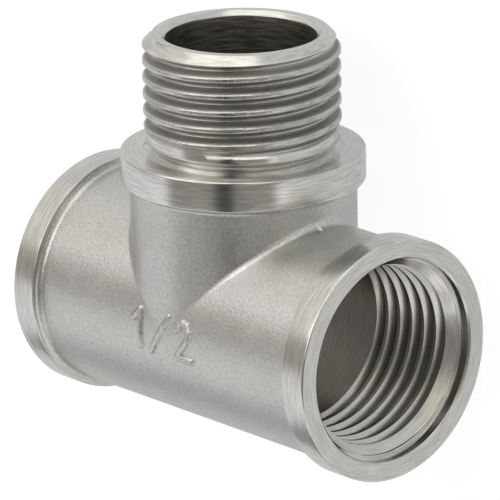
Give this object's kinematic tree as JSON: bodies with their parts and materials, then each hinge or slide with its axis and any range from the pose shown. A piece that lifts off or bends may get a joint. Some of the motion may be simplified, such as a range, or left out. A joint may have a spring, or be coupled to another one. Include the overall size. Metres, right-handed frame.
{
  "type": "threaded pipe tee",
  "caption": "One-piece metal pipe tee with an internal pipe thread at each end of its run and an external pipe thread on its branch, behind turned collars.",
  "frame": {"origin": "on the floor, below the middle of the tee's outline as it lies on its back on its three collars", "axes": "+X along the run, +Y along the branch towards its external thread, +Z out of the tee's front face, upwards"},
  "size_m": [0.046, 0.044, 0.026],
  "materials": {
    "tee_body": "satin nickel plate over brass"
  },
  "bodies": {
    "root": {"tee_body": "tee_body"}
  },
  "joints": []
}
